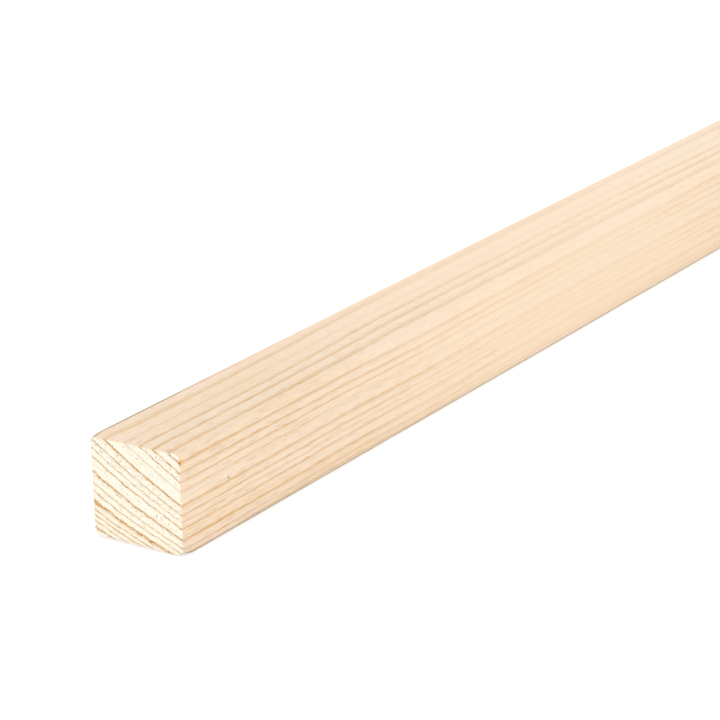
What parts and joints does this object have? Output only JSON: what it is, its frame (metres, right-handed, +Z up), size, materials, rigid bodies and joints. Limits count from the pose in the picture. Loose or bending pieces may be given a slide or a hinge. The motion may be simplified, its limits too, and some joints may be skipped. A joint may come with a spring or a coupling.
{
  "type": "square timber batten",
  "caption": "Straight square-section planed softwood batten with eased arrises and plain sawn ends, for framing, fixing rails, ledgers and trim.",
  "frame": {"origin": "middle of the lower long face, at half the length, on the floor", "axes": "+Y along the length, away from the pictured end; +Z up through the upper face; +X out of the side face that the picture shows"},
  "size_m": [0.034, 0.9, 0.034],
  "materials": {
    "softwood": "bare pale softwood, planed smooth on the long faces and sawn on the ends"
  },
  "bodies": {
    "root": {"timber_batten": "softwood"}
  },
  "joints": []
}
